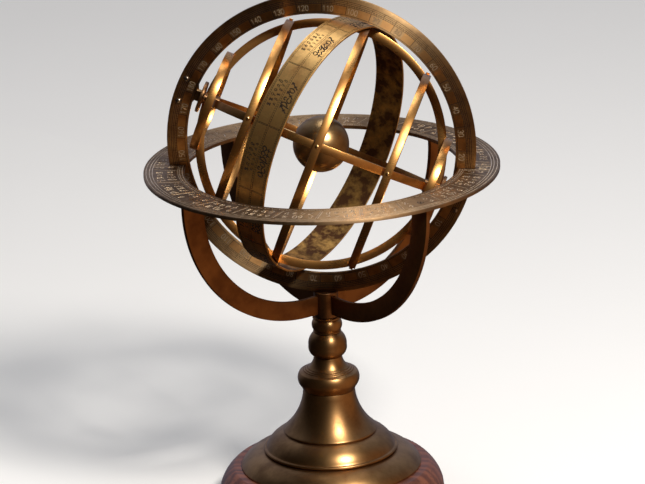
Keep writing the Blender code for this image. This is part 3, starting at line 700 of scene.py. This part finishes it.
def make_horizon():
    inner, outer, thick = HORIZON["inner"], HORIZON["outer"], HORIZON["thick"]
    hole, plain = SCREW_HEAD + GAP, 1.2  # plain: width without engraving round a hole or notch
    clear_side, clear_end = NOTCH_HALF + 1.3, NOTCH + 1.5
    screws = [(SCREW_CIRCLE * math.cos(turn), SCREW_CIRCLE * math.sin(turn))
              for turn in (math.radians(azimuth) for _, azimuth in ARM_AZIMUTHS)]
    cuts = [[(side * CUT_FROM, -NOTCH_HALF), (side * NOTCH, -NOTCH_HALF),
             (side * NOTCH, NOTCH_HALF), (side * CUT_FROM, NOTCH_HALF)] for side in (-1, 1)]
    cuts += [[(x + cx, y + cy) for x, y in circle(hole, SMALL)] for cx, cy in screws]

    def region(x, y, drawn):
        radius = math.hypot(x, y)
        if not inner - CLOSE < radius < outer - SOFT - CLOSE or (abs(y) < NOTCH_HALF and abs(x) < NOTCH):
            return None
        if any(math.dist((x, y), screw) < hole for screw in screws):
            return None
        if abs(y) < NOTCH_HALF + plain and abs(x) < NOTCH + plain:
            return PLAIN
        return ENGRAVED if drawn or in_groove(radius, HORIZON_GROOVES) else PLAIN

    def underside(x, y, drawn):
        return None if region(x, y, drawn) is None else PLAIN

    radii = [inner, outer - SOFT] + [edge for groove in HORIZON_GROOVES for edge in groove]
    loops = [circle(r) for r in radii]
    quads = [quad for quad in horizon_marks(screws, hole + plain)
             if min(abs(y) for _, y in quad) >= clear_side or max(abs(x) for x, _ in quad) >= clear_end]
    shape = carve(loops + cuts, [], quads, region, HORIZON_DEPTH)
    rim = [e for e in shape.edges
           if e.is_boundary and all(math.hypot(*v.co.xy) < outer - 1.0 for v in e.verts)]
    walls = bmesh.ops.extrude_edge_only(shape, edges=rim)
    for vert in walls["geom"]:
        if isinstance(vert, bmesh.types.BMVert):
            vert.co.z = -thick
    below = carve(loops + cuts, [], [], underside, HORIZON_DEPTH)
    for vert in below.verts:
        vert.co.z -= thick
    sheet = bpy.data.meshes.new("under")
    below.to_mesh(sheet)
    below.free()
    shape.from_mesh(sheet)
    bpy.data.meshes.remove(sheet)
    revolve(shape, soft_edge(outer, 0.0, -thick, -1), FINE, closed=False)
    bmesh.ops.remove_doubles(shape, verts=shape.verts, dist=WELD)
    settle("horizon_plate", shape, [PLATE, GLINT], "base",
           AT_CENTRE @ Matrix.Translation((0, 0, HORIZON["high"] * MM)), ("horizon_ring",))


# ---- meridian ring ----


TRACK_FROM, TRACK_TO = 119.5, 126.5  # the band of figures
TRACK_MIDDLE = (TRACK_FROM + TRACK_TO) / 2
CELL_FROM = 5.0  # each ten degrees end in a cell, from here
DIVISIONS_AT, DIVISIONS_FROM = 128.0, 126.9
DEGREE_TO, FIVE_DEGREES_TO = 128.2, 131.2
FIGURE_SIZE, FIGURE_WIDTH, FIGURE_TURN = 4.6, 0.55, 2.6  # turn: degrees past the cell's end
MERIDIAN_GROOVES = [(119.0, 119.4), (126.6, 127.0), (128.1, 128.5), (129.6, 130.0), (131.1, 131.5)]
MERIDIAN_DEPTH = 0.2
MERIDIAN_START = 180.0 - LATITUDE  # the scale begins at the north pole


def meridian_marks():
    """Quads of the meridian's figures, cell ends and degrees."""
    degree_long = math.radians(1.0) * TRACK_MIDDLE
    figures, lines = [], []
    for step in range(36):
        x = (90.0 - MERIDIAN_START + 10.0 * step) * degree_long
        value = 180 - 10 * step if step <= 18 else 10 * (step - 18)
        figures += on_ring(number(value, x + FIGURE_TURN * degree_long, TRACK_MIDDLE, FIGURE_SIZE,
                                  FIGURE_WIDTH), TRACK_MIDDLE)
        lines += on_ring(stroke([(x, TRACK_FROM - 0.2), (x, TRACK_TO + 0.2)], 0.42), TRACK_MIDDLE)
    for degree in range(360):
        x = (90.0 - MERIDIAN_START + degree) * math.radians(1.0) * DIVISIONS_AT
        top = DEGREE_TO if degree % 5 else FIVE_DEGREES_TO
        lines += on_ring(stroke([(x, DIVISIONS_FROM), (x, top)], 0.26), DIVISIONS_AT)
    return lines + figures


def meridian_region(x, y, drawn):
    """Region of the meridian's face for carve."""
    radius = math.hypot(x, y)
    if not MERIDIAN["inner"] + SOFT - CLOSE < radius < MERIDIAN["outer"] - SOFT + CLOSE:
        return None
    on_track = TRACK_FROM < radius < TRACK_TO
    turn = (MERIDIAN_START - math.degrees(math.atan2(y, x))) % 10.0
    if drawn:
        return BRIGHT if on_track and 0.4 < turn < CELL_FROM else ENGRAVED
    if in_groove(radius, MERIDIAN_GROOVES):
        return ENGRAVED
    return CELL if on_track and turn > CELL_FROM else PLAIN


def make_meridian():
    inner, outer, half = MERIDIAN["inner"], MERIDIAN["outer"], MERIDIAN["thick"] / 2
    radii = [inner + SOFT, outer - SOFT, TRACK_FROM, TRACK_TO]
    radii += [edge for groove in MERIDIAN_GROOVES for edge in groove]
    lines = []
    for step in range(36):
        for turn in (0.0, CELL_FROM):
            angle = math.radians(MERIDIAN_START - 10.0 * step - turn)
            lines.append([(r * math.cos(angle), r * math.sin(angle)) for r in (TRACK_FROM, TRACK_TO)])
    shape = carve([circle(r) for r in radii], lines, meridian_marks(), meridian_region, MERIDIAN_DEPTH)
    face = bpy.data.meshes.new("face")
    shape.to_mesh(face)
    shape.free()
    shape = bmesh.new()
    for turn in (Matrix.Translation((0, 0, half)), Matrix.Translation((0, 0, -half)) @ TURNED_OVER):
        side = face.copy()
        side.transform(turn)
        shape.from_mesh(side)
        bpy.data.meshes.remove(side)
    bpy.data.meshes.remove(face)
    revolve(shape, soft_edge(outer, half, -half, -1), FINE, closed=False)
    revolve(shape, soft_edge(inner, half, -half, 1)[::-1], FINE, closed=False)
    bmesh.ops.remove_doubles(shape, verts=shape.verts, dist=WELD)
    settle("meridian_plate", shape, [SCALE, INK, CELLS, GLINT_FIGURES], "meridian",
           AT_CENTRE @ FACE_ON, ("meridian_ring",))


def make_pole_fittings():
    """The rivets and the pivot pin at each pole of the meridian ring."""
    head = MERIDIAN["thick"] / 2 + GAP
    tail = -head - 2.3
    outline = (arc((0.0, head + 1.6), (2.7, head), 0.18, 8)
               + [(1.5, head), (1.5, tail), (2.3, tail), (2.2, tail - 0.7), (1.7, tail - 1.0),
                  (0.0, tail - 1.0)])
    places = [math.radians(direction + side * BRACKET_RIVET_ANGLE)
              for direction in (180.0 - LATITUDE, -LATITUDE) for side in (-1, 1)]
    for index, angle in enumerate(places, 1):
        at = Vector((math.cos(angle), 0, math.sin(angle))) * BRACKET_RIVET_RADIUS
        turned("pole_rivet_%d" % index, outline, RIVETS, "meridian", SMALL,
               AT_CENTRE @ upright(at, (0, -1, 0)), ("bracket_rivet_%d" % index,), closed=False)
    pin = rounded([(0, PIN["high"]), (PIN["outer"], PIN["high"]), (PIN["outer"], PIN["low"]),
                   (0, PIN["low"])], 0.2, False)
    for name, sign in POLES:
        turned(name + "_pin", pin, FITTINGS, "meridian", TINY,
               AT_CENTRE @ upright((0, 0, 0), sign * POLE), (name + "_pivot_pin",), closed=False)


# ---- celestial cage ----


# peened tabs of the flat colure through the tropics: distance out of the tropic's face, size
TAB_STATIONS = ((-2.0, 1.0), (0.9, 1.0), (1.3, 1.25), (1.6, 0.9))


def make_cage():
    strip_ring("equator_strip", "equator_ring")
    strip_ring("solstitial_strip", "solstitial_colure", IN_CAGE @ SIDE_ON)
    for name, steps in (("north_tropic", FINE), ("south_tropic", FINE), ("arctic", FINE // 2),
                        ("antarctic", FINE // 2)):
        strip_ring(name + "_strip", name + "_ring", steps=steps)
    inner, outer, flat = EQUINOCTIAL["inner"], EQUINOCTIAL["outer"], EQUINOCTIAL["high"]
    shape = bmesh.new()
    revolve(shape, rounded([(outer, flat), (outer, -flat), (inner, -flat), (inner, flat)], SOFT), FINE)
    tab_half, tab_flat = 1.6, flat - 0.1
    tab = rounded([(-tab_half, -tab_flat), (tab_half, -tab_flat), (tab_half, tab_flat),
                   (-tab_half, tab_flat)], 0.3)
    for across in (-1, 1):
        for height in (-TROPIC["middle"], TROPIC["middle"]):
            stations = [(Vector((across * (TROPIC["outer"] + out), height, 0)), Vector((0, grow, 0)),
                         Vector((0, 0, grow))) for out, grow in TAB_STATIONS]
            sweep(shape, tab, stations)
    settle("equinoctial_plate", shape, [STRIPS], "cage", IN_CAGE @ FACE_ON,
           ("equinoctial_colure",))
    top, disc = BOSS["high"], BOSS["outer"]
    boss = rounded([(0, BORE_FROM), (BOSS_BORE, BORE_FROM), (BOSS_BORE, top), (disc, top),
                    (disc, DISC_FROM), (BOSS_RADIUS, DISC_FROM), (BOSS_RADIUS, BOSS["low"]),
                    (0, BOSS["low"])], 0.5, False)
    for name, sign in POLES:
        turned(name + "_boss", boss, HUB, "cage", 2 * TINY,
               IN_CAGE @ upright((0, 0, 0), (0, 0, sign)), (name + "_pole_boss",), closed=False)
    radius, end = AXLE["outer"], AXLE["high"]
    turned("axle_rod", rounded([(0, end), (radius, end), (radius, -end), (0, -end)], 0.2, False), FITTINGS,
           "cage", TINY, IN_CAGE, ("earth_axle",), closed=False)


def rivet(name, node_name, point, direction, tail, head, tail_radius=0.0):
    """A domed rivet of the cage from its tail to its head, and a second head if tail_radius is given."""
    shank = 0.9
    outline = arc((0.0, head + 1.1), (1.9, head), 0.18, 6) + [(shank, head), (shank, tail)]
    if tail_radius:
        outline += [(tail_radius, tail), (tail_radius - 0.3, tail - 0.8)]
    outline.append((0.0, outline[-1][1]))
    turned(name, outline, FITTINGS, "cage", TINY, IN_CAGE @ upright(point, direction),
           (node_name,), closed=False)


def make_rivets():
    for index, side in enumerate((-1, 1), 1):
        rivet("equator_stud_%d" % index, "equator_rivet_%d" % index, (0, 0, 0), (0, side, 0),
              SOLSTITIAL["inner"] - GAP, EQUATOR["outer"] + GAP, 1.7)
    places = [(height, side) for height in (-TROPIC["middle"], TROPIC["middle"]) for side in (-1, 1)]
    for index, (height, side) in enumerate(places, 1):
        rivet("tropic_stud_%d" % index, "tropic_rivet_%d" % index, (0, 0, height), (0, side, 0),
              TROPIC_RIVET_END, TROPIC["outer"] + GAP)
    places = [(y, side) for y in (-ZODIAC_RIVET_Y, ZODIAC_RIVET_Y) for side in (-1, 1)]
    for index, (y, side) in enumerate(places, 1):
        rivet("zodiac_stud_%d" % index, "zodiac_rivet_%d" % index, (0, y, 0), (side, 0, 0),
              EQUATOR["inner"] - 0.5, ZODIAC["outer"] + GAP, 1.5)


ZODIAC_GROOVES = [(-12.7, -12.4), (-11.4, -11.1), (-1.2, -0.9), (0.6, 0.9), (11.1, 11.4), (12.4, 12.7)]
LADDERS = [(-12.6, -11.2), (-1.0, 0.7), (11.2, 12.6)]  # the three scales of degrees across the band
FIELDS = ((-11.2, -1.1), (0.8, 11.2))  # the two bands of marks between them
ZODIAC_SOFT, ZODIAC_DEPTH = 0.25, 0.25
ZODIAC_STEP = 4.5  # between places in a sign
# rows of marks: step along, height in the band, size, line width, slant
ZODIAC_ROWS = ((0.0, -6.2, 8.4, 1.05, 0.2), (0.0, 7.8, 4.2, 0.65, 0.15), (1.5, 3.4, 3.4, 0.55, 0.15))


def zodiac_marks(length):
    """Quads of the zodiac's degrees and marks, along a band of the given length."""
    rng = random.Random(11)
    quads = []
    for degree in range(360):
        x = (degree + 0.5) / 360 * length
        for low, high in LADDERS:
            quads += stroke([(x, low), (x, high)], 0.3)
    for sign in range(12):
        start = sign / 12 * length
        for offset in (0.6, 1.5):
            for low, high in FIELDS:
                quads += stroke([(start + offset, low), (start + offset, high)], 0.42)
        middle = start + length / 24
        for place in range(6):
            for along, row, size, width, slant in ZODIAC_ROWS:
                x = middle + (place - 2.5) * ZODIAC_STEP + along
                quads += symbol(rng.choice(MARKS), x, row, size, width, slant)
    return quads


def make_zodiac():
    inner, outer, half = ZODIAC["inner"], ZODIAC["outer"], ZODIAC["high"]
    length, soft = 2 * math.pi * outer, ZODIAC_SOFT
    edges = [soft - half, half - soft] + [edge for groove in ZODIAC_GROOVES for edge in groove]
    lines = [[(k / ZODIAC_STEPS * length, soft - half), (k / ZODIAC_STEPS * length, half - soft)]
             for k in range(ZODIAC_STEPS + 1)]
    lines += [[(0.0, y), (length, y)] for y in edges]

    def region(x, y, drawn):
        if not (0 < x < length and abs(y) < half - soft + CLOSE):
            return None
        return ENGRAVED if drawn or in_groove(y, ZODIAC_GROOVES) else PLAIN

    shape = carve([], lines, zodiac_marks(length), region, ZODIAC_DEPTH)
    ends = [f for f in shape.faces if all(v.co.x < WELD for v in f.verts)
            or all(v.co.x > length - WELD for v in f.verts)]
    bmesh.ops.delete(shape, geom=ends, context="FACES")
    for vert in shape.verts:
        angle, height, radius = vert.co.x / outer, vert.co.y, outer + vert.co.z
        vert.co = (radius * math.cos(angle), radius * math.sin(angle), height)
    for side in (-1, 1):
        edge, low = side * half, side * (half - soft)
        revolve(shape, [(outer, low), (outer - soft, edge), (inner + soft, edge), (inner, low)],
                ZODIAC_STEPS, closed=False)
    revolve(shape, [(inner, soft - half), (inner, half - soft)], ZODIAC_STEPS, closed=False, material=INSIDE)
    bmesh.ops.remove_doubles(shape, verts=shape.verts, dist=WELD)
    settle("zodiac_plate", shape, [BANDS, INK, INNER_FACE_SHADE], "cage", IN_ZODIAC,
           ("zodiac_band",))


def make_earth():
    start = math.asin(BALL_BORE / BALL_RADIUS)
    angles = [start + (math.pi - 2 * start) * i / BALL_ROWS for i in range(BALL_ROWS + 1)]
    outline = [(BALL_RADIUS * math.sin(a), BALL_RADIUS * math.cos(a)) for a in angles]
    turned("earth_globe", outline, BALL, "earth", ROUND, IN_CAGE, ("earth_ball",))


def dress_frame():
    """Materials of the CAD nodes that stay in view."""
    for name, material in (("felt_pad", FELT), ("hub", HUB), ("north_pole_bracket", SCALE),
                           ("south_pole_bracket", SCALE), ("tie_rod", STEEL), ("tie_washer", STEEL),
                           ("tie_nut", STEEL)):
        for held in frame["nodes"][name].material_slots:
            held.material = material


# ---- room, light and camera ----


FLOOR_HALF = 4.0  # metres


def make_room():
    shape = bmesh.new()
    bmesh.ops.create_grid(shape, x_segments=1, y_segments=1, size=FLOOR_HALF)
    mesh = bpy.data.meshes.new("floor")
    shape.to_mesh(mesh)
    shape.free()
    floor = add("floor", mesh)
    mat, tree, shader, coords = begin("floor_pale", 0.0)
    pale = blend(tree, noise(tree, coords, 3.0), (0.90, 0.895, 0.885), (0.93, 0.925, 0.915))
    tree.links.new(pale, shader.inputs["Base Color"])
    shader.inputs["Roughness"].default_value = 0.9
    mesh.materials.append(mat)
    floor.visible_glossy = False


def softbox(name, place, target, size, power, colour):
    light = bpy.data.lights.new(name, "AREA")
    light.shape = "RECTANGLE"
    light.size, light.size_y = size
    light.energy = power
    light.color = colour
    lamp = add(name, light)
    lamp.location = place
    lamp.rotation_euler = (Vector(target) - Vector(place)).to_track_quat("-Z", "Y").to_euler()


# the dark room seen in the brass, and where it glows: direction, from and to (cosines), colour
DARK_ROOM = (0.014, 0.011, 0.010, 1.0)
SURROUNDINGS = (
    ((0.0, -0.9, -0.4), 0.3, 1.0, (0.030, 0.020, 0.014)),
    ((0.95, -0.2, -0.25), 0.3, 1.0, (0.34, 0.19, 0.10)),
    ((-0.15, 0.8, 0.55), 0.3, 0.95, (0.26, 0.28, 0.38)),
)
LIGHT_DISTANCE = 2.2
# name, degrees right of the front, degrees up, size, power, colour
LIGHTS = (
    ("key_light", 40.0, 43.0, (0.42, 0.42), 56.0, (1.0, 0.95, 0.88)),
    ("top_light", 160.0, 70.0, (1.1, 1.1), 11.0, (0.95, 0.97, 1.0)),
)
FILL, BACKDROP = (0.36, 0.36, 0.37), (0.93, 0.93, 0.93)


def make_light():
    world = bpy.data.worlds.new("studio")
    bpy.context.scene.world = world
    world.use_nodes = True
    tree = world.node_tree
    tree.nodes.clear()
    path = node(tree, "LightPath").outputs
    seen, diffuse = path["Is Camera Ray"], path["Is Diffuse Ray"]
    direction = node(tree, "TexCoord").outputs["Generated"]
    colour = node(tree, "RGB").outputs["Color"]
    colour.default_value = DARK_ROOM
    for towards, low, high, glow in SURROUNDINGS:
        facing = node(tree, "VectorMath", {0: direction, 1: Vector(towards).normalized()},
                      operation="DOT_PRODUCT").outputs["Value"]
        colour = blend(tree, spread(tree, facing, low, high), colour, glow)
    colour = blend(tree, diffuse, colour, FILL)
    background = node(tree, "Background", {"Color": blend(tree, seen, colour, BACKDROP), "Strength": 1.0})
    output = node(tree, "OutputWorld")
    tree.links.new(background.outputs["Background"], output.inputs["Surface"])
    for name, azimuth, elevation, size, power, tint in LIGHTS:
        turn, rise = math.radians(azimuth), math.radians(elevation)
        towards = Vector((math.sin(turn) * math.cos(rise), -math.cos(turn) * math.cos(rise), math.sin(rise)))
        softbox(name, CENTRE + towards * LIGHT_DISTANCE, CENTRE, size, power, tint)


VIEW_RIGHT, VIEW_DOWN, VIEW_ROLL = 8.5, 17.3, 1.88  # degrees
VIEW_DISTANCE, VIEW_LIMIT = 3.9, 50.0  # metres
AIM_RIGHT, AIM_BELOW = 0.0013, 0.085  # metres past the middle of the cage
LENS, SENSOR_WIDTH = 250.98, 36.0  # millimetres


def make_camera():
    turn, drop = math.radians(VIEW_RIGHT), math.radians(VIEW_DOWN)
    look = Vector((-math.sin(turn) * math.cos(drop), math.cos(turn) * math.cos(drop), -math.sin(drop)))
    camera = bpy.data.cameras.new("camera")
    camera.sensor_width = SENSOR_WIDTH
    camera.lens = LENS
    camera.clip_end = VIEW_LIMIT
    holder = add("camera", camera)
    facing = look.to_track_quat("-Z", "Y").to_matrix().to_4x4()
    tilt = (Matrix.Rotation(math.radians(-VIEW_ROLL), 4, "Z")
            @ Matrix.Rotation(-math.atan(AIM_BELOW / VIEW_DISTANCE), 4, "X")
            @ Matrix.Rotation(-math.atan(AIM_RIGHT / VIEW_DISTANCE), 4, "Y"))
    holder.matrix_world = Matrix.Translation(CENTRE - look * VIEW_DISTANCE) @ facing @ tilt
    bpy.context.scene.camera = holder


make_stand()
make_arms()
make_horizon()
make_screws()
make_meridian()
make_pole_fittings()
make_cage()
make_rivets()
make_zodiac()
make_earth()
dress_frame()
make_room()
make_light()
make_camera()
bpy.context.scene.view_settings.view_transform = "Standard"
